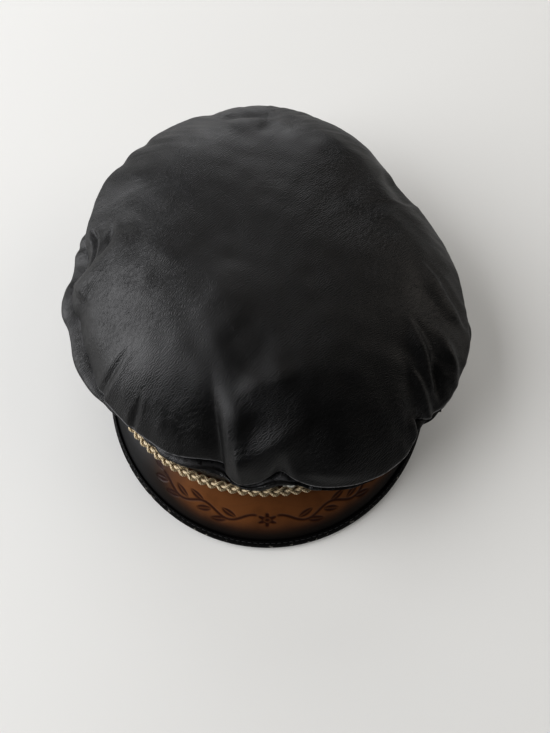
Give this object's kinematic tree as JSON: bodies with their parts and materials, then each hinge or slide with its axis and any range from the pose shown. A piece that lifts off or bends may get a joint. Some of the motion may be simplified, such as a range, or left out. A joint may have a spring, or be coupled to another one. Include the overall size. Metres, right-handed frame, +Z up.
{
  "type": "biker cap",
  "caption": "Soft black leather biker cap with a rumpled round crown, upright head band, stiff bound peak, plaited cream cord above it and a small front pin; lies on its band and peak.",
  "frame": {"origin": "on the surface the cap lies on, under the middle of its bounding box", "axes": "+Z up, -Y towards the peak, +X towards the wearer's left"},
  "size_m": [0.2406, 0.2676, 0.0988],
  "materials": {
    "black_leather": "soft black garment leather with a fine grain and a low sheen",
    "peak_leather": "stiff hand-coloured leather, brown in the middle and black towards the edge",
    "cream_cord": "twisted cream-gold cord with a silky sheen",
    "silver_metal": "worn silver-coloured metal"
  },
  "bodies": {
    "root": {"crown_top": "black_leather", "crown_side": "black_leather", "head_band": "black_leather", "peak": "peak_leather", "peak_binding": "black_leather", "braid_strand_1": "cream_cord", "braid_strand_2": "cream_cord", "braid_strand_3": "cream_cord", "side_button_left": "black_leather", "side_button_right": "black_leather", "front_pin": "silver_metal"}
  },
  "joints": []
}
